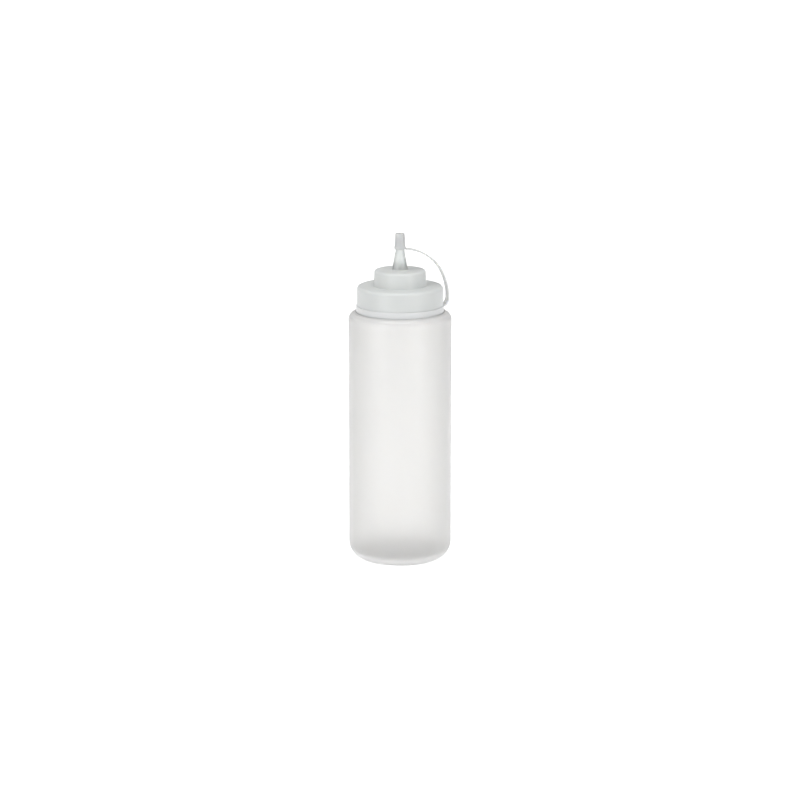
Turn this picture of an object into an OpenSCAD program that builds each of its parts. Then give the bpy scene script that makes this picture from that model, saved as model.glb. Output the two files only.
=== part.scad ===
// Squeeze bottle for sauce, with a stepped screw cap, a conical nozzle and a small tip cap.
// The tip cap hangs on a strap from a ring that is snapped round the foot of the screw cap.
// Origin at the centre of the base, +Z up, millimetres.

/* [Bottle] */
// Outer diameter of the bottle body
body_d = 80; // [74:0.5:110]
// Height of the shoulder above the table
body_h = 195.5; // [130:0.5:240]
// Wall of the bottle body
bottle_wall = 1.1; // [0.8:0.1:1.8]
// Outer radius round the foot
foot_r = 13; // [9:0.5:15]
// Outer radius round the shoulder
shoulder_r = 5.6; // [3:0.2:5.8]
// Diameter of the hollow under the base
push_up_d = 43; // [30:1:46]
// Depth of the hollow under the base
push_up_h = 3.4; // [1.5:0.1:6]

/* [Neck] */
// Outer diameter of the neck between its threads
neck_d = 60; // [56:0.2:61]
// Height of the neck above the shoulder
neck_h = 18.7; // [15:0.1:26]
// Wall of the neck
neck_wall = 1.6; // [1.2:0.1:2.4]
// Height of the step at the root of the neck
neck_step_h = 1.6; // [0.8:0.1:2.4]
// How far the step at the root of the neck stands out
neck_step_out = 0.9; // [0.4:0.1:1.1]

/* [Screw cap] */
// Radial space between the neck and the skirt, where the threads lie
thread_space = 1.5; // [1.3:0.1:2]
// Wall of the skirt
skirt_wall = 1.8; // [1.5:0.1:2.2]
// Open gap between the skirt and the shoulder of the bottle
skirt_gap = 0.3; // [0.3:0.1:2]
// Thickness of the deck that seats on the neck
deck_t = 1.8; // [1.2:0.1:2.6]
// Radius of the skirt's upper edge
skirt_edge_r = 2.4; // [1:0.1:3]
// Depth of the sealing lip inside the neck
lip_h = 3; // [1.5:0.1:5]
// Thickness of the sealing lip
lip_t = 1; // [0.8:0.1:1.6]
// Clearance between the sealing lip and the neck
lip_fit = 0.3; // [0.2:0.05:0.6]
// Diameter of the raised tier at its foot
tier_d = 40.8; // [34:0.2:46]
// Height of the raised tier above the deck
tier_h = 12.4; // [8:0.1:18]
// How much narrower the tier is at its top, in diameter
tier_draft = 1; // [0:0.1:2]
// Wall of the raised tier
tier_wall = 1.6; // [1.2:0.1:2.2]
// Radius of the tier's upper edge
tier_edge_r = 1.8; // [0.6:0.1:2.4]
// Radius of the hollow corner where the tier meets the deck
tier_foot_r = 0.9; // [0.4:0.1:1.6]

/* [Nozzle] */
// Outer diameter of the nozzle at its foot
nozzle_foot_d = 12.2; // [11:0.1:16]
// Outer diameter of the nozzle where the tip cap ends
nozzle_rim_d = 6.7; // [6:0.1:6.9]
// Height of the nozzle that stays bare under the tip cap
nozzle_bare_h = 16.2; // [12:0.1:20]
// Length of the nozzle inside the tip cap
nozzle_plug_h = 5; // [3:0.1:5.2]
// Outer diameter of the nozzle at its very tip
nozzle_tip_d = 4.9; // [3.6:0.1:5]
// Bore of the nozzle at its tip
orifice_d = 2.6; // [1.6:0.1:3]
// Wall of the nozzle at its foot
nozzle_wall = 1.5; // [1:0.1:2]
// Radius of the hollow corner where the nozzle meets the tier
nozzle_foot_r = 0.7; // [0.3:0.1:1.4]
// Length of the straight bore at the nozzle's tip
orifice_l = 2; // [1:0.5:3]

/* [Tether ring] */
// Height of the ring
ring_h = 5; // [4:0.1:6]
// How far the ring stands out from the skirt
ring_out = 0.7; // [0.4:0.1:1.2]
// Height of the ring above the lower edge of the skirt
ring_lift = 0.1; // [0.1:0.1:0.5]
// Depth of the groove in the skirt that holds the ring
groove_depth = 0.8; // [0.5:0.05:0.9]
// Height of the retaining bead under the groove
bead_h = 0.9; // [0.6:0.1:1.2]
// How far the bead stands out of the groove
bead_out = 0.35; // [0.2:0.05:0.4]
// Radial clearance of the ring on the screw cap
ring_fit = 0.3; // [0.2:0.05:0.35]
// Clearance above and below the ring's inner lip
ring_end_fit = 0.1; // [0.05:0.05:0.3]
// Radius of the ring's outer edges
ring_edge_r = 0.4; // [0.2:0.1:0.6]

/* [Strap] */
// Direction of the strap, round from +X towards +Y
strap_turn = 16; // [0:1:60]
// Thickness of the strap
strap_t = 1.3; // [0.9:0.1:1.8]
// Width of the strap at the ring
strap_root_w = 8.4; // [5:0.1:10]
// Width of the strap at the tip cap
strap_tip_w = 4.4; // [3:0.1:6]
// Height of the strap's widest point above the foot of the ring
strap_belly_h = 9; // [8:0.5:12]
// How far the strap bows out past the ring
strap_bow = 4.9; // [4:0.1:7]
// Outer radius of the bend where the strap leaves the ring
root_bend_r = 8; // [7:0.5:12]
// Outer radius of the strap's long arch
arch_r = 46; // [42:0.5:50]
// Angle that the long arch covers
arch_angle = 24; // [18:1:32]
// Height of the strap's upper end above the mouth of the tip cap
strap_end_h = 0.6; // [0.4:0.1:1]

/* [Tip cap] */
// Length of the tip cap
tip_h = 12.2; // [10:0.1:16]
// Outer diameter of the tip cap's top
tip_top_d = 7.5; // [7:0.1:8.4]
// Outer diameter of the tip cap above its rim
tip_waist_d = 8.1; // [7.8:0.1:9]
// Outer diameter of the tip cap's rim
tip_rim_d = 9; // [8.8:0.1:10.4]
// Height of the flared rim
tip_rim_h = 3.2; // [2:0.1:4]
// Radial clearance between the tip cap's mouth and the nozzle
tip_fit = 0.35; // [0.3:0.05:0.45]
// Diameter of the tip cap's inside at its closed end
tip_inner_d = 5.8; // [5.2:0.1:6]
// Thickness of the tip cap's closed end
tip_top_t = 1.6; // [1:0.1:2.4]
// Bevel round the tip cap's top
tip_bevel = 0.6; // [0.3:0.1:1]
// Length of the tab that joins the tip cap to the strap
tip_tab = 3; // [2:0.1:4]

/* [Hidden] */
$fn = 96;
EPS = 0.01;
// Angle by which one bend of the strap runs on into the next
BEND_LAP = 0.2;
// Where the strap starts under the root bend, and how far it runs on inside the tip cap, as angles
ROOT_ANGLE = -75;
END_LAP = 3;
// Height above the ring up to which the strap is trimmed to the ring's outside
ROOT_TRIM_H = 8;
// Half height of the space kept clear for the nozzle round the tip cap's mouth, and its extra radius
MOUTH_CLEAR_H = 3;
MOUTH_CLEAR_R = 0.3;

body_r = body_d / 2;
push_up_r = push_up_d / 2;
// Sphere radius of the hollow under the base, from its width and depth
push_up_ball_r = (push_up_r * push_up_r + push_up_h * push_up_h) / (2 * push_up_h);
neck_r = neck_d / 2;
bore_r = neck_r - neck_wall;
neck_top = body_h + neck_h;
// Height where the body's wall turns into the shoulder
shoulder_z = body_h - shoulder_r;

skirt_in_r = neck_r + thread_space;
skirt_r = skirt_in_r + skirt_wall;
skirt_bottom = body_h + skirt_gap;
deck_top = neck_top + deck_t;
lip_r = bore_r - lip_fit;
tier_r = tier_d / 2;
tier_top_r = tier_r - tier_draft / 2;
tier_top = deck_top + tier_h;
nozzle_foot = nozzle_foot_d / 2;
nozzle_rim = nozzle_rim_d / 2;
nozzle_tip = nozzle_tip_d / 2;
tip_bottom = tier_top + nozzle_bare_h;
nozzle_top = tip_bottom + nozzle_plug_h;

groove_r = skirt_r - groove_depth;
bead_r = groove_r + bead_out;
ring_bottom = skirt_bottom + ring_lift;
ring_r = skirt_r + ring_out;
ring_lip_r = groove_r + ring_fit;
ring_skin_r = bead_r + ring_fit;
groove_bottom = skirt_bottom + bead_h;
groove_top = ring_bottom + ring_h + ring_end_fit;

tip_rim = tip_rim_d / 2;
tip_mouth_r = nozzle_rim + tip_fit;
tip_top = tip_bottom + tip_h;

// The strap's outline lies in a plane through the axis: x outwards, y up
strap_out_x = ring_r + strap_bow;
root_centre = [strap_out_x - root_bend_r, ring_bottom + strap_belly_h];
arch_centre = [strap_out_x - arch_r, root_centre[1]];
arch_end = arch_centre + arch_r * [cos(arch_angle), sin(arch_angle)];
strap_end = [tip_rim, tip_bottom + strap_end_h];
// The last bend goes on in the arch's direction and ends at the tip cap's rim
end_step = strap_end - arch_end;
end_bend_r = -(end_step * end_step) / (2 * (end_step * [cos(arch_angle), sin(arch_angle)]));
end_centre = arch_end - end_bend_r * [cos(arch_angle), sin(arch_angle)];
end_angle = atan2(strap_end[1] - end_centre[1], strap_end[0] - end_centre[0]);
tab_end_x = tip_rim + tip_tab;

milky = [0.93, 0.94, 0.92];

// Cuts a rounded outer corner: the corner point is at [0, 0], the body lies towards -x and -y
module corner_cut(r) {
    translate([-r, -r])
        difference() {
            square(r + EPS);
            circle(r);
        }
}

// Fills a hollow corner: the corner point is at [0, 0], the fill lies towards +x and +y
module corner_fill(r) {
    difference() {
        translate([-EPS, -EPS]) square(r + EPS);
        translate([r, r]) circle(r);
    }
}

// Half section of the body as a full outline: radius r, from z0 up to z1, round foot and shoulder
module body_section(r, z0, z1, foot, shoulder) {
    difference() {
        translate([0, z0]) square([r, z1 - z0]);
        translate([r, z1]) corner_cut(shoulder);
        translate([r, z0]) mirror([0, 1]) corner_cut(foot);
    }
}

// The dome that the base is pushed up into, raised by lift
module push_up(lift) {
    intersection() {
        translate([0, push_up_h - push_up_ball_r + lift]) circle(push_up_ball_r);
        translate([0, -1]) square([push_up_r + lift, push_up_h + lift + 1]);
    }
}

// Half section of the whole bottle
module bottle_section() {
    difference() {
        union() {
            body_section(body_r, 0, body_h, foot_r, shoulder_r);
            translate([0, body_h - EPS]) square([neck_r, neck_h + EPS]);
            translate([0, body_h - EPS]) square([neck_r + neck_step_out, neck_step_h + EPS]);
        }
        push_up(0);
        difference() {
            body_section(body_r - bottle_wall, bottle_wall, body_h - bottle_wall,
                foot_r - bottle_wall, shoulder_r - bottle_wall);
            push_up(bottle_wall);
        }
        translate([0, body_h - bottle_wall - EPS]) square([bore_r, neck_h + bottle_wall + 1]);
    }
}

// Band of a half section between two heights
module between(z0, z1) {
    intersection() {
        children();
        translate([0, z0]) square([2 * body_r, z1 - z0]);
    }
}

// The bottle is one moulding, shown as its cup, its shoulder and its neck, which meet face to face
module bottle_body() color(milky) rotate_extrude() between(0, shoulder_z) bottle_section();

module bottle_shoulder() color(milky) rotate_extrude() between(shoulder_z, body_h) bottle_section();

module bottle_neck() color(milky) rotate_extrude() between(body_h, neck_top) bottle_section();

module cap_outside() {
    difference() {
        union() {
            translate([0, skirt_bottom]) square([skirt_r, deck_top - skirt_bottom]);
            polygon([[0, deck_top - EPS], [tier_r, deck_top - EPS], [tier_r, deck_top],
                [tier_top_r, tier_top], [0, tier_top]]);
            polygon([[0, tier_top - EPS], [nozzle_foot, tier_top - EPS], [nozzle_foot, tier_top],
                [nozzle_rim, tip_bottom], [nozzle_tip, nozzle_top], [0, nozzle_top]]);
            translate([tier_r, deck_top]) corner_fill(tier_foot_r);
            translate([nozzle_foot, tier_top]) corner_fill(nozzle_foot_r);
        }
        translate([skirt_r, deck_top]) corner_cut(skirt_edge_r);
        translate([tier_top_r, tier_top]) corner_cut(tier_edge_r);
        translate([groove_r, groove_bottom]) square([skirt_r, groove_top - groove_bottom]);
        translate([bead_r, skirt_bottom - 1]) square([skirt_r, groove_bottom - skirt_bottom + 1]);
    }
}

module cap_inside() {
    difference() {
        translate([0, skirt_bottom - 1]) square([skirt_in_r, neck_top - skirt_bottom + 1]);
        translate([lip_r - lip_t, neck_top - lip_h]) square([lip_t, lip_h + 1]);
    }
    polygon([[0, neck_top - EPS], [tier_r - tier_wall, neck_top - EPS],
        [tier_top_r - tier_wall, tier_top - tier_wall], [0, tier_top - tier_wall]]);
    polygon([[0, tier_top - tier_wall - EPS], [nozzle_foot - nozzle_wall, tier_top - tier_wall - EPS],
        [nozzle_foot - nozzle_wall, tier_top], [orifice_d / 2, nozzle_top - orifice_l],
        [orifice_d / 2, nozzle_top + 1], [0, nozzle_top + 1]]);
}

// Half section of the whole screw cap
module cap_section() {
    difference() {
        cap_outside();
        cap_inside();
    }
}

// The screw cap is one moulding too, shown as its skirt, its deck with the sealing lip, its tier and its
// nozzle, which meet face to face
module cap_skirt() color(milky) rotate_extrude() difference() {
    between(skirt_bottom, neck_top) cap_section();
    translate([0, skirt_bottom]) square([neck_r, neck_h + 1]);
}

module cap_deck() color(milky) rotate_extrude() difference() {
    between(neck_top - lip_h, deck_top) cap_section();
    translate([neck_r, neck_top - lip_h - 1]) square([body_r, lip_h + 1]);
}

module cap_tier() color(milky) rotate_extrude() between(deck_top, tier_top) cap_section();

module cap_nozzle() color(milky) rotate_extrude() between(tier_top, nozzle_top) cap_section();

module tether_ring() color(milky) rotate_extrude() {
    difference() {
        translate([ring_lip_r, ring_bottom]) square([ring_r - ring_lip_r, ring_h]);
        translate([0, ring_bottom - 1])
            square([ring_skin_r, groove_bottom + ring_end_fit - ring_bottom + 1]);
        translate([ring_r, ring_bottom + ring_h]) corner_cut(ring_edge_r);
        translate([ring_r, ring_bottom]) mirror([0, 1]) corner_cut(ring_edge_r);
    }
}

// A bent strip of the strap's thickness, r to its outer face, from angle a0 to a1
module bend(centre, r, a0, a1) {
    reach = 2 * r;
    translate(centre) intersection() {
        difference() {
            circle(r, $fn = 240);
            circle(r - strap_t, $fn = 240);
        }
        polygon([[0, 0], reach * [cos(a0), sin(a0)], reach * [cos((a0 + a1) / 2), sin((a0 + a1) / 2)],
            reach * [cos(a1), sin(a1)]]);
    }
}

module strap_outline() {
    bend(root_centre, root_bend_r, ROOT_ANGLE, BEND_LAP);
    bend(arch_centre, arch_r, 0, arch_angle + BEND_LAP);
    bend(end_centre, end_bend_r, arch_angle, end_angle + END_LAP);
}

// The whole strap, from inside the ring to inside the tip cap, tapered in width
module strap_blank() rotate([0, 0, strap_turn]) intersection() {
    translate([0, strap_root_w, 0]) rotate([90, 0, 0]) linear_extrude(2 * strap_root_w) strap_outline();
    translate([0, 0, ring_bottom]) linear_extrude(tip_top - ring_bottom)
        polygon([[0, -strap_tip_w / 2], [tip_rim, -strap_tip_w / 2], [ring_r, -strap_root_w / 2],
            [2 * ring_r, -strap_root_w / 2], [2 * ring_r, strap_root_w / 2], [ring_r, strap_root_w / 2],
            [tip_rim, strap_tip_w / 2], [0, strap_tip_w / 2]]);
}

// Everything further out than x along the strap's direction
module beyond(x) rotate([0, 0, strap_turn])
    translate([x, -ring_r, ring_bottom - 1]) cube([2 * ring_r, 2 * ring_r, tip_top]);

module tip_strap() color(milky) intersection() {
    difference() {
        strap_blank();
        cylinder(h = ring_bottom + ring_h + ROOT_TRIM_H, r = ring_r);
    }
    beyond(tab_end_x);
}

module tip_cap() color(milky) {
    difference() {
        rotate_extrude() polygon([[0, tip_bottom], [tip_rim, tip_bottom],
            [tip_rim, tip_bottom + tip_rim_h / 2], [tip_waist_d / 2, tip_bottom + tip_rim_h],
            [tip_top_d / 2, tip_top - tip_bevel],
            [tip_top_d / 2 - tip_bevel, tip_top], [0, tip_top]]);
        tip_hollow();
    }
    difference() {
        strap_blank();
        beyond(tab_end_x);
        tip_hollow();
        translate([0, 0, tip_bottom - MOUTH_CLEAR_H])
            cylinder(h = 2 * MOUTH_CLEAR_H, r = tip_mouth_r + MOUTH_CLEAR_R);
    }
}

module tip_hollow() rotate_extrude()
    polygon([[0, tip_bottom - EPS], [tip_mouth_r, tip_bottom - EPS],
        [tip_inner_d / 2, tip_top - tip_top_t], [0, tip_top - tip_top_t]]);

bottle_body();
bottle_shoulder();
bottle_neck();
cap_skirt();
cap_deck();
cap_tier();
cap_nozzle();
tether_ring();
tip_strap();
tip_cap();
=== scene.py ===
import math

import bmesh
import bpy
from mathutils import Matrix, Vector


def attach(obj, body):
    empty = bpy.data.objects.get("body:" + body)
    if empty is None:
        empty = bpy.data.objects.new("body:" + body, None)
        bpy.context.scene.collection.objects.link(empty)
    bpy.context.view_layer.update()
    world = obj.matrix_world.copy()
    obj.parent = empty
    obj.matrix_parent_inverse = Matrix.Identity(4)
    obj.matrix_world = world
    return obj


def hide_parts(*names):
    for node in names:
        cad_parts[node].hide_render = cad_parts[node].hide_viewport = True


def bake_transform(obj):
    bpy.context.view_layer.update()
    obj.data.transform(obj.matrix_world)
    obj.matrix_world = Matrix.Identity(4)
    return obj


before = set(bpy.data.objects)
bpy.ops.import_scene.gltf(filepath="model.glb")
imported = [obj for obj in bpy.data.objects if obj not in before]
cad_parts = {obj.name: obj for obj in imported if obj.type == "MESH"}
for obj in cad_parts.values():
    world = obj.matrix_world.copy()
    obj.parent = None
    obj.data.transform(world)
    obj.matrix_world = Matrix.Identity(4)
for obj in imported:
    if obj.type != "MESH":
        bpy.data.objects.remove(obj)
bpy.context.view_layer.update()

# Milky squeeze bottle for sauce: threaded bottle, stepped screw cap with a nozzle, and a tethered tip cap
BOTTLE_NODES = [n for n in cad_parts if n.startswith("bottle")]
CAP_NODES = [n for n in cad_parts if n.startswith("cap_")]
MM = 0.001

# Sizes in millimetres that the finished pieces share with the frame's solids: the bottle
BODY_R = 40.0
BODY_H = 195.5
WALL = 1.1
FOOT_R = 13.0
SHOULDER_R = 5.6
PUSH_UP_R = 21.5
PUSH_UP_H = 3.4
NECK_R = 30.0
BORE_R = 28.4
NECK_TOP = 214.2
NECK_STEP_OUT = 0.9
NECK_STEP_H = 1.6

# The screw cap
DECK_T = 1.8
DECK_TOP = NECK_TOP + DECK_T
SKIRT_R = 33.3
SKIRT_IN_R = 31.5
SKIRT_BOTTOM = 195.8
SKIRT_EDGE_R = 2.4
GROOVE_R = 32.5
BEAD_R = 32.85
GROOVE_BOTTOM = 196.7
GROOVE_TOP = 201.0
LIP_FIT = 0.3
LIP_T = 1.0
LIP_H = 3.0
TIER_R = 20.4
TIER_TOP_R = 19.9
TIER_TOP = 228.4
TIER_WALL = 1.6
TIER_EDGE_R = 1.8
TIER_FOOT_R = 0.9
NOZZLE_FOOT_R = 6.1
NOZZLE_FILLET_R = 0.7
NOZZLE_WALL = 1.5
NOZZLE_RIM_R = 3.35
NOZZLE_TIP_R = 2.45
NOZZLE_TOP = 249.6
ORIFICE_R = 1.3
ORIFICE_L = 2.0

# The tether: its ring, its strap and its tip cap
RING_BOTTOM = 195.9
RING_R = 34.0
RING_LIP_R = 32.8
RING_SKIN_R = 33.15
STRAP_TURN = math.radians(16)
STRAP_T = 1.3
STRAP_ROOT_W = 8.4
STRAP_TIP_W = 4.4
STRAP_BELLY_H = 9.0
STRAP_BOW = 4.9
STRAP_END_H = 0.6
ROOT_BEND_R = 8.0
ARCH_R = 46.0
ARCH_ANGLE = 24.0
TIP_BOTTOM = 244.6
TIP_TOP = 256.8
TIP_RIM_R = 4.5
TIP_TOP_R = 3.75
TIP_TOP_T = 1.6
TIP_MOUTH_R = 3.7

# Details in millimetres that the solids lack or have simpler. The pitch is the rise of the cap in one turn.
THREAD_PITCH = 4.2
THREAD_START_Z = 202.2
THREAD_SINK = 0.25
NECK_CREST_R = 31.15
CAP_CREST_R = 30.4
SHOULDER_BEAD_R = 0.62
SHOULDER_BEAD_OUT = 0.78
SHOULDER_BEAD_SINK = 0.05
MOULD_LINE_H = 0.08
MOULD_LINE_HALF_W = 0.35
TIP_WAIST_R = 4.06
STRAP_EDGE_R = 0.42

# Heights between which the painted light on the strap's shaded root fades away
STRAP_PAINTED_LIGHT_BOTTOM = 204.0
STRAP_PAINTED_LIGHT_TOP = 232.0

# Steps round a turned piece, round the small tip cap and along one turn of a thread
SEGMENTS = 288
TIP_SEGMENTS = 128
THREAD_STEPS = 120

# Milky plastic: refraction, scattering, absorption in the walls, clouding, grain and long waves in the skin.
# The grain's height is in millimetres.
IOR = 1.51
SCATTER_RADII = (1.0, 0.95, 0.85)
SCATTER_SCALE = 0.003
WALL_COLOUR = (0.03, 0.05, 0.04, 1)
CLOUD_SCALE = 28.0
CLOUD_DETAIL = 3.0
GRAIN_SCALE = 2600.0
GRAIN_DETAIL = 2.0
GRAIN_STRENGTH = 0.25
GRAIN_H = 0.012
FLOW_SCALE = 60.0
FLOW_STRETCH = (1.0, 1.0, 0.12)

# Heights and radii, tint and transparency of zones of the pieces. The tints are painted shade on the bottle's
# base and shoulder and painted light on the nozzle; the foot zone only changes transparency.
# The base is made less clear, and its colour is darkened as painted shade
BASE_PAINTED_SHADE_ZONE = ((3.6, 5.2), (25.0, 29.0), 0.74, 0.45)
FOOT_ZONE = ((5.0, 10.0), (31.0, 28.0), 1.0, 0.35)
# The top of the shoulder, under the cap's ring, is made less clear, and its colour is darkened as painted
# shade
SHOULDER_PAINTED_SHADE_ZONE = ((194.6, 191.5), (60.0, 70.0), 0.73, 0.2)
# The nozzle is clearer for its thin wall, and its colour is lightened as painted light for the light that
# comes through it
NOZZLE_PAINTED_LIGHT_ZONE = ((230.0, 228.2), (12.0, 15.0), 1.32, 0.8)

# Studio: lengths in metres and angles in degrees, unless the name says otherwise
FLOOR_HALF = 40
FLOOR_PAINT = 0.92
FLOOR_GLOW = 0.7
SKY_STRENGTH = 0.53
CAMERA_ELEVATION = 12.91
CAMERA_DISTANCE = 2.479
CAMERA_AIM_Z = 0.1254
SENSOR_MM = 36
FOCAL_PIXELS = 3190
PICTURE_PIXELS = 800

OUTWARDS = Vector((math.cos(STRAP_TURN), math.sin(STRAP_TURN), 0))
SIDEWAYS = Vector((-math.sin(STRAP_TURN), math.cos(STRAP_TURN), 0))


def arc(cx, cz, r, a0, a1, steps):
    """Points of an arc in the half section, from angle a0 to a1 in degrees."""
    points = []
    for i in range(steps + 1):
        a = math.radians(a0 + (a1 - a0) * i / steps)
        points.append((cx + r * math.cos(a), cz + r * math.sin(a)))
    return points


def line(p, q, steps):
    """Points between p and q, both left out."""
    return [(p[0] + (q[0] - p[0]) * i / steps, p[1] + (q[1] - p[1]) * i / steps) for i in range(1, steps)]


def even_angles(count):
    """Angles of even steps round the axis."""
    return [2 * math.pi * i / count for i in range(count)]


def mesh_object(name, bm, smooth_angle=35):
    """Merges double points, turns the faces outwards and links the mesh, scaled to metres."""
    bmesh.ops.remove_doubles(bm, verts=bm.verts, dist=1e-4)
    bmesh.ops.recalc_face_normals(bm, faces=bm.faces)
    for v in bm.verts:
        v.co *= MM
    mesh = bpy.data.meshes.new(name)
    bm.to_mesh(mesh)
    bm.free()
    for p in mesh.polygons:
        p.use_smooth = True
    mesh.set_sharp_from_angle(angle=math.radians(smooth_angle))
    obj = bpy.data.objects.new(name, mesh)
    bpy.context.scene.collection.objects.link(obj)
    return obj


def revolve(name, section, angles, bulge=None):
    """Turns a closed half section round the axis. bulge(angle, r, z) gives a point's extra radius."""
    bm = bmesh.new()
    rings = []
    for a in angles:
        ring = []
        for r, z in section:
            extra = bulge(a, r, z) if bulge and r > 0.01 else 0.0
            ring.append(bm.verts.new(((r + extra) * math.cos(a), (r + extra) * math.sin(a), z)))
        rings.append(ring)
    count = len(section)
    for i, ring in enumerate(rings):
        after = rings[(i + 1) % len(rings)]
        for j in range(count):
            k = (j + 1) % count
            if section[j][0] < 0.01 and section[k][0] < 0.01:
                continue
            bm.faces.new((ring[j], after[j], after[k], ring[k]))
    bmesh.ops.dissolve_degenerate(bm, edges=bm.edges, dist=1e-5)
    return mesh_object(name, bm)


def skin_rings(bm, rings):
    """Joins the rings of points one after the other and closes both ends."""
    for before, after in zip(rings, rings[1:]):
        for j in range(len(before)):
            k = (j + 1) % len(before)
            bm.faces.new((before[j], after[j], after[k], before[k]))
    bm.faces.new(rings[0])
    bm.faces.new(list(reversed(rings[-1])))


def helix_thread(name, root_r, crest_r, start_z, turns, foot_w, crest_w):
    """A screw thread that runs out at both ends. It stands out of root_r towards crest_r."""
    bm = bmesh.new()
    steps = int(turns * THREAD_STEPS)
    sink = -THREAD_SINK if crest_r > root_r else THREAD_SINK
    rings = []
    for i in range(steps + 1):
        t = i / steps
        a = t * turns * 2 * math.pi
        z = start_z + THREAD_PITCH * a / (2 * math.pi)
        fade_in = min(1.0, t * turns * 10, (1 - t) * turns * 10)
        fade_in = fade_in * fade_in * (3 - 2 * fade_in)
        crest = root_r + (crest_r - root_r) * fade_in
        flank = crest - 0.15 * (crest_r - root_r) * fade_in
        inner = root_r + sink
        shape = [(inner, -foot_w / 2), (root_r, -foot_w / 2)]
        shape += [(flank, -crest_w / 2 - 0.1), (crest, -crest_w / 2 + 0.15)]
        shape += [(crest, crest_w / 2 - 0.15), (flank, crest_w / 2 + 0.1)]
        shape += [(root_r, foot_w / 2), (inner, foot_w / 2)]
        rings.append([bm.verts.new((r * math.cos(a), r * math.sin(a), z + dz)) for r, dz in shape])
    skin_rings(bm, rings)
    return mesh_object(name, bm, 50)


def bottle_section():
    """Half section of the bottle: under the base, up the outside, over the mouth and down the inside."""
    ball = (PUSH_UP_R ** 2 + PUSH_UP_H ** 2) / (2 * PUSH_UP_H)
    edge = math.degrees(math.asin(PUSH_UP_R / ball))
    dome_z = PUSH_UP_H - ball
    r = BODY_R - MOULD_LINE_H
    points = arc(0, dome_z, ball, 90, 90 - edge + 1.5, 16)
    points += [(PUSH_UP_R - 0.35, 0.12), (PUSH_UP_R + 0.2, 0.0)]
    points += arc(r - FOOT_R, FOOT_R, FOOT_R, -90, 0, 26)
    points += line((r, FOOT_R), (r, BODY_H - SHOULDER_R), 40)
    points += arc(r - SHOULDER_R, BODY_H - SHOULDER_R, SHOULDER_R, 0, 82, 16)
    points += arc(RING_R + SHOULDER_BEAD_OUT, BODY_H - SHOULDER_BEAD_SINK, SHOULDER_BEAD_R, 10, 175, 10)
    step = NECK_R + NECK_STEP_OUT
    step_top = BODY_H + NECK_STEP_H
    points += [(RING_R, BODY_H), (step + 0.5, BODY_H), (step, BODY_H + 0.35)]
    points += [(step, BODY_H + 1.3), (step - 0.3, step_top)]
    points += [(NECK_R + 0.15, step_top), (NECK_R, BODY_H + 1.75)]
    points += line((NECK_R, BODY_H + 1.75), (NECK_R, NECK_TOP - 0.5), 6)
    points += arc(NECK_R - 0.5, NECK_TOP - 0.5, 0.5, 0, 90, 5)
    points += arc(BORE_R + 0.4, NECK_TOP - 0.4, 0.4, 90, 180, 5)
    points += line((BORE_R, NECK_TOP - 0.4), (BORE_R, BODY_H - WALL), 6)
    inner = r - WALL
    points += [(BORE_R, BODY_H - WALL + 0.3), (BORE_R + 0.3, BODY_H - WALL)]
    points += arc(inner - SHOULDER_R + WALL, BODY_H - SHOULDER_R, SHOULDER_R - WALL, 90, 0, 12)
    points += line((inner, BODY_H - SHOULDER_R), (inner, FOOT_R), 24)
    points += arc(r - FOOT_R, FOOT_R, FOOT_R - WALL, 0, -90, 22)
    points += [(PUSH_UP_R + 1.2, WALL), (PUSH_UP_R + 0.3, WALL + 0.15)]
    points += list(reversed(arc(0, dome_z + WALL, ball, 90, 90 - edge + 1.0, 16)))
    return points


def mould_line(angle, r, z):
    """The fine ridge that the two halves of the mould leave along the left and right of the bottle."""
    outside = r > BODY_R - 0.2 or (z < 2 and r > PUSH_UP_R) or (z < FOOT_R and r > BODY_R - FOOT_R)
    if not outside or z > BODY_H - 1:
        return 0.0
    away = abs(math.sin(angle)) * r
    return MOULD_LINE_H * max(0.0, 1 - away / MOULD_LINE_HALF_W)


def mould_angles():
    """Even steps round the bottle, with closer ones at the mould's parting line."""
    turns = set(even_angles(SEGMENTS))
    for side in (0.0, math.pi):
        for step in (0.25, 0.55):
            turns.add((side + math.radians(step)) % (2 * math.pi))
            turns.add((side - math.radians(step)) % (2 * math.pi))
    return sorted(turns)


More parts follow.
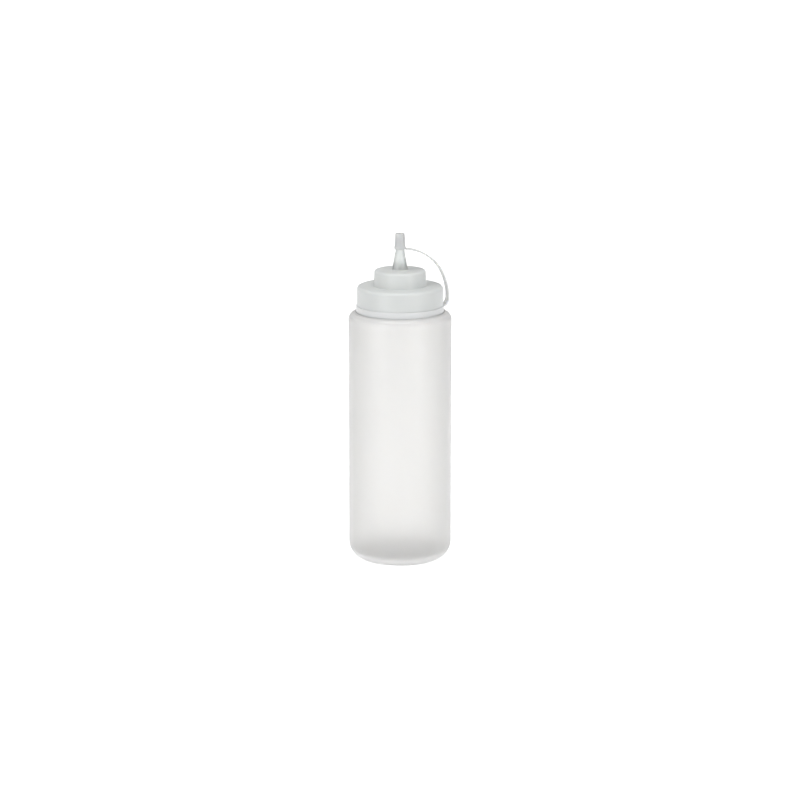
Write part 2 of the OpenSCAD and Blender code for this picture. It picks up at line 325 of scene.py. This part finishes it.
def cap_section():
    """Half section of the screw cap: up the skirt, over the tier and the nozzle, and down the inside."""
    points = [(SKIRT_IN_R + 0.2, SKIRT_BOTTOM), (BEAD_R - 0.25, SKIRT_BOTTOM), (BEAD_R, SKIRT_BOTTOM + 0.25)]
    points += [(BEAD_R, GROOVE_BOTTOM - 0.2), (GROOVE_R + 0.15, GROOVE_BOTTOM)]
    points += [(GROOVE_R, GROOVE_BOTTOM + 0.15), (GROOVE_R, GROOVE_TOP)]
    points += [(SKIRT_R - 0.05, GROOVE_TOP), (SKIRT_R, GROOVE_TOP + 0.05)]
    points += line((SKIRT_R, GROOVE_TOP + 0.05), (SKIRT_R, DECK_TOP - SKIRT_EDGE_R), 6)
    points += arc(SKIRT_R - SKIRT_EDGE_R, DECK_TOP - SKIRT_EDGE_R, SKIRT_EDGE_R, 0, 90, 14)
    points += arc(TIER_R + TIER_FOOT_R, DECK_TOP + TIER_FOOT_R, TIER_FOOT_R, 270, 182, 8)
    points += line((TIER_R - 0.04, DECK_TOP + TIER_FOOT_R), (TIER_TOP_R + 0.07, TIER_TOP - TIER_EDGE_R), 4)
    points += arc(TIER_TOP_R - TIER_EDGE_R + 0.04, TIER_TOP - TIER_EDGE_R, TIER_EDGE_R, 2, 90, 12)
    points += arc(NOZZLE_FOOT_R + NOZZLE_FILLET_R, TIER_TOP + NOZZLE_FILLET_R, NOZZLE_FILLET_R, 270, 188, 6)
    points += line((NOZZLE_FOOT_R - 0.1, TIER_TOP + NOZZLE_FILLET_R), (NOZZLE_RIM_R, TIP_BOTTOM), 8)
    points += [(NOZZLE_RIM_R, TIP_BOTTOM), (NOZZLE_TIP_R + 0.06, NOZZLE_TOP - 0.3)]
    points += [(NOZZLE_TIP_R - 0.3, NOZZLE_TOP), (ORIFICE_R + 0.2, NOZZLE_TOP), (ORIFICE_R, NOZZLE_TOP - 0.2)]
    nozzle_bore = NOZZLE_FOOT_R - NOZZLE_WALL
    points += [(ORIFICE_R, NOZZLE_TOP - ORIFICE_L), (nozzle_bore, TIER_TOP), (nozzle_bore, TIER_TOP - 1.3)]
    points += [(NOZZLE_FOOT_R - 1.2, TIER_TOP - TIER_WALL)]
    points += arc(TIER_TOP_R - TIER_WALL - 1.0, TIER_TOP - TIER_WALL - 1.0, 1.0, 90, 0, 6)
    points += [(TIER_R - TIER_WALL, NECK_TOP + 0.3), (TIER_R - 1.3, NECK_TOP)]
    lip = BORE_R - LIP_FIT
    points += [(lip - LIP_T, NECK_TOP), (lip - LIP_T, NECK_TOP - 2.7)]
    points += [(lip - 0.7, NECK_TOP - LIP_H), (lip - 0.3, NECK_TOP - LIP_H)]
    points += [(lip, NECK_TOP - 2.6), (lip, NECK_TOP)]
    points += arc(SKIRT_IN_R - 0.5, NECK_TOP - 0.5, 0.5, 90, 0, 4)
    points += line((SKIRT_IN_R, NECK_TOP - 0.5), (SKIRT_IN_R, SKIRT_BOTTOM + 0.2), 6)
    points += [(SKIRT_IN_R, SKIRT_BOTTOM + 0.2)]
    return points


def ring_section():
    """Half section of the tether ring, with its inner lip in the groove of the skirt."""
    top = GROOVE_TOP - 0.02
    lip_bottom = GROOVE_BOTTOM + 0.2
    points = arc(RING_R - 0.2, RING_BOTTOM + 0.2, 0.2, -90, 0, 5)
    points += arc(RING_R - 0.3, top - 0.3, 0.3, 0, 90, 5)
    points += [(RING_LIP_R + 0.2, top), (RING_LIP_R, top - 0.2), (RING_LIP_R, GROOVE_BOTTOM + 0.3)]
    points += [(RING_LIP_R + 0.1, lip_bottom), (RING_SKIN_R, lip_bottom), (RING_SKIN_R, RING_BOTTOM)]
    return points


def tip_section():
    """Half section of the tip cap: up the outside, over the top and down the hollow."""
    points = [(4.2, TIP_BOTTOM), (4.45, TIP_BOTTOM + 0.2), (TIP_RIM_R, TIP_BOTTOM + 0.5)]
    points += [(4.48, TIP_BOTTOM + 1.5), (4.38, TIP_BOTTOM + 2.1), (4.2, TIP_BOTTOM + 2.7)]
    points += [(TIP_WAIST_R, TIP_BOTTOM + 3.3)]
    points += line((TIP_WAIST_R, TIP_BOTTOM + 3.3), (TIP_TOP_R, TIP_TOP - 0.7), 5)
    points += arc(3.05, TIP_TOP - 0.65, 0.65, 4, 90, 8)
    points += [(0, TIP_TOP), (0, TIP_TOP - TIP_TOP_T)]
    points += [(2.5, TIP_TOP - TIP_TOP_T), (2.85, TIP_TOP - 1.75), (2.92, TIP_TOP - 2.1)]
    points += line((2.92, TIP_TOP - 2.1), (3.68, TIP_BOTTOM + 0.2), 5)
    points += [(TIP_MOUTH_R, TIP_BOTTOM + 0.2), (3.85, TIP_BOTTOM)]
    return points


def strap_path():
    """Middle line of the strap, as (distance from the axis, height, angle of the outward normal)."""
    out_x = RING_R + STRAP_BOW
    root = (out_x - ROOT_BEND_R, RING_BOTTOM + STRAP_BELLY_H)
    arch = (out_x - ARCH_R, root[1])
    a = math.radians(ARCH_ANGLE)
    end = Vector((arch[0] + ARCH_R * math.cos(a), arch[1] + ARCH_R * math.sin(a)))
    goal = Vector((TIP_RIM_R, TIP_BOTTOM + STRAP_END_H))
    step = goal - end
    normal = Vector((math.cos(a), math.sin(a)))
    end_r = -step.dot(step) / (2 * step.dot(normal))
    centre = end - end_r * normal
    end_angle = math.degrees(math.atan2(goal[1] - centre[1], goal[0] - centre[0]))
    bends = [(root, ROOT_BEND_R, -64, 0, 16), (arch, ARCH_R, 0, ARCH_ANGLE, 18)]
    bends += [(centre, end_r, ARCH_ANGLE, end_angle, 40)]
    path = []
    for middle, r, a0, a1, steps in bends:
        for i in range(1 if path else 0, steps + 1):
            angle = math.radians(a0 + (a1 - a0) * i / steps)
            mid_r = r - STRAP_T / 2
            path.append((middle[0] + mid_r * math.cos(angle), middle[1] + mid_r * math.sin(angle), angle))
    return path


def strap_width(x):
    """Width of the strap at a distance from the axis: it narrows from the ring to the tip cap."""
    t = min(1.0, max(0.0, (x - TIP_RIM_R) / (RING_R - TIP_RIM_R)))
    return STRAP_TIP_W + (STRAP_ROOT_W - STRAP_TIP_W) * t


def strap_mesh(name, path):
    """A flat strap with rounded edges. Its attribute near_ring, the mask of painted light on the root, fades
    from 1 near the ring to 0.
    """
    bm = bmesh.new()
    near_ring = bm.verts.layers.float.new("near_ring")
    half_t = STRAP_T / 2
    rings = []
    for x, z, angle in path:
        nearness = min(1.0, max(0.0, (STRAP_PAINTED_LIGHT_TOP - z) / (STRAP_PAINTED_LIGHT_TOP - STRAP_PAINTED_LIGHT_BOTTOM)))
        half_w = strap_width(x) / 2
        out = math.cos(angle) * OUTWARDS + Vector((0, 0, math.sin(angle)))
        here = x * OUTWARDS + Vector((0, 0, z))
        ring = []
        for cx, cy, a0 in ((1, 1, 0), (-1, 1, 90), (-1, -1, 180), (1, -1, 270)):
            for k in range(4):
                a = math.radians(a0 + 30 * k)
                side = cx * (half_w - STRAP_EDGE_R) + STRAP_EDGE_R * math.cos(a)
                up = cy * (half_t - STRAP_EDGE_R) + STRAP_EDGE_R * math.sin(a)
                vert = bm.verts.new(here + side * SIDEWAYS + up * out)
                vert[near_ring] = nearness
                ring.append(vert)
        rings.append(ring)
    skin_rings(bm, rings)
    return mesh_object(name, bm, 60)


def fade(nodes, links, value, full, none):
    """1 where the value is at full and 0 where it is at none, smooth between."""
    ramp = nodes.new("ShaderNodeMapRange")
    ramp.interpolation_type = "SMOOTHSTEP"
    ramp.inputs["From Min"].default_value = full
    ramp.inputs["From Max"].default_value = none
    ramp.inputs["To Min"].default_value = 1.0
    ramp.inputs["To Max"].default_value = 0.0
    links.new(value, ramp.inputs["Value"])
    return ramp.outputs["Result"]


def zone_mask(nodes, links, place, heights, radii):
    """A zone of the piece in millimetres: heights and radii each run from full effect to none."""
    split = nodes.new("ShaderNodeSeparateXYZ")
    links.new(place, split.inputs["Vector"])
    flat = nodes.new("ShaderNodeVectorMath")
    flat.operation = "MULTIPLY"
    flat.inputs[1].default_value = (1, 1, 0)
    links.new(place, flat.inputs[0])
    length = nodes.new("ShaderNodeVectorMath")
    length.operation = "LENGTH"
    links.new(flat.outputs["Vector"], length.inputs[0])
    both = nodes.new("ShaderNodeMath")
    both.operation = "MULTIPLY"
    links.new(fade(nodes, links, split.outputs["Z"], heights[0] * MM, heights[1] * MM), both.inputs[0])
    links.new(fade(nodes, links, length.outputs["Value"], radii[0] * MM, radii[1] * MM), both.inputs[1])
    return both.outputs[0]


def tinted(nodes, links, mask, before, colour, tint):
    """Turns the colour before into the piece's colour times tint, as far as the mask goes."""
    mix = nodes.new("ShaderNodeMix")
    mix.data_type = "RGBA"
    mix.inputs["B"].default_value = (*[min(1.0, c * tint) for c in colour], 1)
    links.new(mask, mix.inputs["Factor"])
    links.new(before, mix.inputs["A"])
    return mix.outputs["Result"]


def noise(nodes, links, place, scale, detail):
    """A noise texture in the piece's own coordinates."""
    texture = nodes.new("ShaderNodeTexNoise")
    texture.inputs["Scale"].default_value = scale
    texture.inputs["Detail"].default_value = detail
    links.new(place, texture.inputs["Vector"])
    return texture.outputs["Fac"]


def milky_plastic(name, colour, see_through, roughness, haze=0.015, flow=0.0, density=0.0, scatter=0.25,
                  zones=(), ring_painted_light=0.0):
    """Milky moulded polyethylene: satin skin, faint clouding in the colour and a very fine grain.

    With a density, the walls absorb light by their depth, and flow is the height of long waves in the skin.
    A zone is (heights, radii, tint, see_through) of a part of the piece; a tint below 1 is painted shade and
    a tint above 1 is painted light.
    ring_painted_light paints light onto a piece by its attribute near_ring.
    """
    material = bpy.data.materials.new(name)
    material.use_nodes = True
    nodes = material.node_tree.nodes
    links = material.node_tree.links
    shader = nodes["Principled BSDF"]
    shader.inputs["IOR"].default_value = IOR
    shader.inputs["Transmission Weight"].default_value = see_through
    shader.inputs["Subsurface Weight"].default_value = scatter
    shader.inputs["Subsurface Radius"].default_value = SCATTER_RADII
    shader.inputs["Subsurface Scale"].default_value = SCATTER_SCALE
    if density > 0:
        depth = nodes.new("ShaderNodeVolumeAbsorption")
        depth.inputs["Color"].default_value = WALL_COLOUR
        depth.inputs["Density"].default_value = density
        links.new(depth.outputs["Volume"], nodes["Material Output"].inputs["Volume"])
    place = nodes.new("ShaderNodeTexCoord").outputs["Object"]
    clouds = noise(nodes, links, place, CLOUD_SCALE, CLOUD_DETAIL)
    tone = nodes.new("ShaderNodeValToRGB")
    tone.color_ramp.elements[0].position = 0.3
    tone.color_ramp.elements[1].position = 0.7
    tone.color_ramp.elements[0].color = (*[c * (1 - haze) for c in colour], 1)
    tone.color_ramp.elements[1].color = (*colour, 1)
    links.new(clouds, tone.inputs["Fac"])
    colour_out = tone.outputs["Color"]
    clear_out = None
    for heights, radii, tint, zone_see_through in zones:
        mask = zone_mask(nodes, links, place, heights, radii)
        colour_out = tinted(nodes, links, mask, colour_out, colour, tint)
        clear = nodes.new("ShaderNodeMix")
        clear.inputs["A"].default_value = see_through
        clear.inputs["B"].default_value = zone_see_through
        links.new(mask, clear.inputs["Factor"])
        if clear_out:
            links.new(clear_out, clear.inputs["A"])
        clear_out = clear.outputs["Result"]
    if clear_out:
        links.new(clear_out, shader.inputs["Transmission Weight"])
    # Painted light near the ring, by the attribute near_ring
    if ring_painted_light > 0:
        nearness = nodes.new("ShaderNodeAttribute")
        nearness.attribute_name = "near_ring"
        colour_out = tinted(nodes, links, nearness.outputs["Fac"], colour_out, colour, ring_painted_light)
    links.new(colour_out, shader.inputs["Base Color"])
    skin = nodes.new("ShaderNodeMapRange")
    skin.inputs["To Min"].default_value = roughness - 0.03
    skin.inputs["To Max"].default_value = roughness + 0.04
    links.new(clouds, skin.inputs["Value"])
    links.new(skin.outputs["Result"], shader.inputs["Roughness"])
    fine = noise(nodes, links, place, GRAIN_SCALE, GRAIN_DETAIL)
    bump = nodes.new("ShaderNodeBump")
    bump.inputs["Strength"].default_value = GRAIN_STRENGTH
    bump.inputs["Distance"].default_value = GRAIN_H * MM
    links.new(fine, bump.inputs["Height"])
    last = bump
    if flow > 0:
        stretch = nodes.new("ShaderNodeMapping")
        stretch.inputs["Scale"].default_value = FLOW_STRETCH
        links.new(place, stretch.inputs["Vector"])
        waves = noise(nodes, links, stretch.outputs["Vector"], FLOW_SCALE, 1.0)
        ripple = nodes.new("ShaderNodeBump")
        ripple.inputs["Strength"].default_value = 1.0
        ripple.inputs["Distance"].default_value = flow * MM
        links.new(waves, ripple.inputs["Height"])
        links.new(bump.outputs["Normal"], ripple.inputs["Normal"])
        last = ripple
    links.new(last.outputs["Normal"], shader.inputs["Normal"])
    return material


def finish_piece(obj, material, body, slot_name, *nodes):
    """Gives a piece its material and its body, and hides the nodes that it stands for. slot_name is not used.
    """
    obj.data.materials.append(material)
    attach(obj, body)
    if nodes:
        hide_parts(*nodes)


bottle_skin = milky_plastic("bottle_polyethylene", (0.975, 0.97, 0.96), see_through=0.74, roughness=0.30,
                            haze=0.02, flow=0.03, density=27.0,
                            zones=(BASE_PAINTED_SHADE_ZONE, FOOT_ZONE, SHOULDER_PAINTED_SHADE_ZONE))
cap_skin = milky_plastic("cap_polyethylene", (0.70, 0.72, 0.71), see_through=0.20, roughness=0.36,
                         density=12.0, scatter=0.4, zones=(NOZZLE_PAINTED_LIGHT_ZONE,))
ring_skin = milky_plastic("ring_polyethylene", (0.78, 0.79, 0.785), see_through=0.20, roughness=0.36,
                          scatter=0.6)
tip_skin = milky_plastic("tip_polyethylene", (0.70, 0.71, 0.705), see_through=0.34, roughness=0.30,
                         scatter=0.6)
# The strap's colour is darkened as painted shade on its upper part and lightened near the ring as painted
# light on its shaded root
strap_skin = milky_plastic("strap_polyethylene", (0.60, 0.61, 0.605), see_through=0.10, roughness=0.36,
                           scatter=0.8, ring_painted_light=1.6)

bottle = revolve("bottle", bottle_section(), mould_angles(), mould_line)
finish_piece(bottle, bottle_skin, "bottle", "bottle", *BOTTLE_NODES)
neck_thread = helix_thread("neck_thread", NECK_R, NECK_CREST_R, THREAD_START_Z,
                           turns=1.5, foot_w=2.3, crest_w=0.9)
finish_piece(neck_thread, bottle_skin, "bottle", "bottle")

cap = revolve("screw_cap_shell", cap_section(), even_angles(SEGMENTS))
finish_piece(cap, cap_skin, "closure", "closure", *CAP_NODES)
cap_thread = helix_thread("cap_thread", SKIRT_IN_R, CAP_CREST_R, THREAD_START_Z + THREAD_PITCH * 0.5,
                          turns=1.4, foot_w=1.7, crest_w=0.7)
finish_piece(cap_thread, cap_skin, "closure", "closure")

ring = revolve("snap_ring", ring_section(), even_angles(SEGMENTS))
finish_piece(ring, ring_skin, "tether", "tether", "tether_ring")

tip = revolve("tip_cap_shell", tip_section(), even_angles(TIP_SEGMENTS))
finish_piece(tip, tip_skin, "tip", "tether", "tip_cap")

strap = strap_mesh("strap", strap_path())
strap.data.materials.append(strap_skin)
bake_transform(strap)
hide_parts("tip_strap")


def studio_floor():
    """A wide pale floor that reads as white behind the object and keeps its soft shadow."""
    bm = bmesh.new()
    bmesh.ops.create_grid(bm, x_segments=1, y_segments=1, size=FLOOR_HALF)
    mesh = bpy.data.meshes.new("floor")
    bm.to_mesh(mesh)
    bm.free()
    floor = bpy.data.objects.new("floor", mesh)
    bpy.context.scene.collection.objects.link(floor)
    material = bpy.data.materials.new("studio_white")
    material.use_nodes = True
    nodes = material.node_tree.nodes
    links = material.node_tree.links
    nodes.clear()
    out = nodes.new("ShaderNodeOutputMaterial")
    paint = nodes.new("ShaderNodeBsdfDiffuse")
    paint.inputs["Color"].default_value = (FLOOR_PAINT, FLOOR_PAINT, FLOOR_PAINT, 1)
    glow = nodes.new("ShaderNodeEmission")
    path = nodes.new("ShaderNodeLightPath")
    seen = nodes.new("ShaderNodeMath")
    seen.operation = "MAXIMUM"
    seen_all = nodes.new("ShaderNodeMath")
    seen_all.operation = "MAXIMUM"
    level = nodes.new("ShaderNodeMath")
    level.operation = "MULTIPLY"
    level.inputs[1].default_value = FLOOR_GLOW
    links.new(path.outputs["Is Camera Ray"], seen.inputs[0])
    links.new(path.outputs["Is Glossy Ray"], seen.inputs[1])
    links.new(seen.outputs[0], seen_all.inputs[0])
    links.new(path.outputs["Is Transmission Ray"], seen_all.inputs[1])
    links.new(seen_all.outputs[0], level.inputs[0])
    links.new(level.outputs[0], glow.inputs["Strength"])
    add = nodes.new("ShaderNodeAddShader")
    links.new(paint.outputs[0], add.inputs[0])
    links.new(glow.outputs[0], add.inputs[1])
    links.new(add.outputs[0], out.inputs["Surface"])
    floor.data.materials.append(material)


def softbox(name, place, aim, width, height, power):
    """A large soft lamp at place, turned towards aim."""
    lamp = bpy.data.lights.new(name, "AREA")
    lamp.shape = "RECTANGLE"
    lamp.size = width
    lamp.size_y = height
    lamp.energy = power
    obj = bpy.data.objects.new(name, lamp)
    obj.location = place
    obj.rotation_euler = (Vector(aim) - Vector(place)).to_track_quat("-Z", "Y").to_euler()
    bpy.context.scene.collection.objects.link(obj)


def photo_camera():
    """The camera of the photo: a long lens, a little above the object."""
    elevation = math.radians(CAMERA_ELEVATION)
    aim = Vector((0, 0, CAMERA_AIM_Z))
    data = bpy.data.cameras.new("photo_camera")
    data.sensor_width = SENSOR_MM
    data.lens = SENSOR_MM * FOCAL_PIXELS / PICTURE_PIXELS
    data.clip_end = 100
    camera = bpy.data.objects.new("photo_camera", data)
    camera.location = aim + CAMERA_DISTANCE * Vector((0, -math.cos(elevation), math.sin(elevation)))
    camera.rotation_euler = (aim - camera.location).to_track_quat("-Z", "Y").to_euler()
    bpy.context.scene.collection.objects.link(camera)
    bpy.context.scene.camera = camera


def studio_world(strength):
    """Even white light from all round."""
    world = bpy.data.worlds.new("studio")
    world.use_nodes = True
    sky = world.node_tree.nodes["Background"]
    sky.inputs["Color"].default_value = (1, 1, 1, 1)
    sky.inputs["Strength"].default_value = strength
    bpy.context.scene.world = world


studio_floor()
photo_camera()
studio_world(SKY_STRENGTH)
softbox("left_softbox", (-1.15, -1.25, 0.55), (0, 0, 0.10), width=0.5, height=1.2, power=10.5)
softbox("right_softbox", (1.20, -1.25, 0.55), (0, 0, 0.10), width=0.5, height=1.2, power=9.5)
softbox("top_softbox", (0, -0.1, 1.8), (0, 0, 0.1), width=1.2, height=1.2, power=14)
bpy.context.scene.view_settings.view_transform = "Standard"
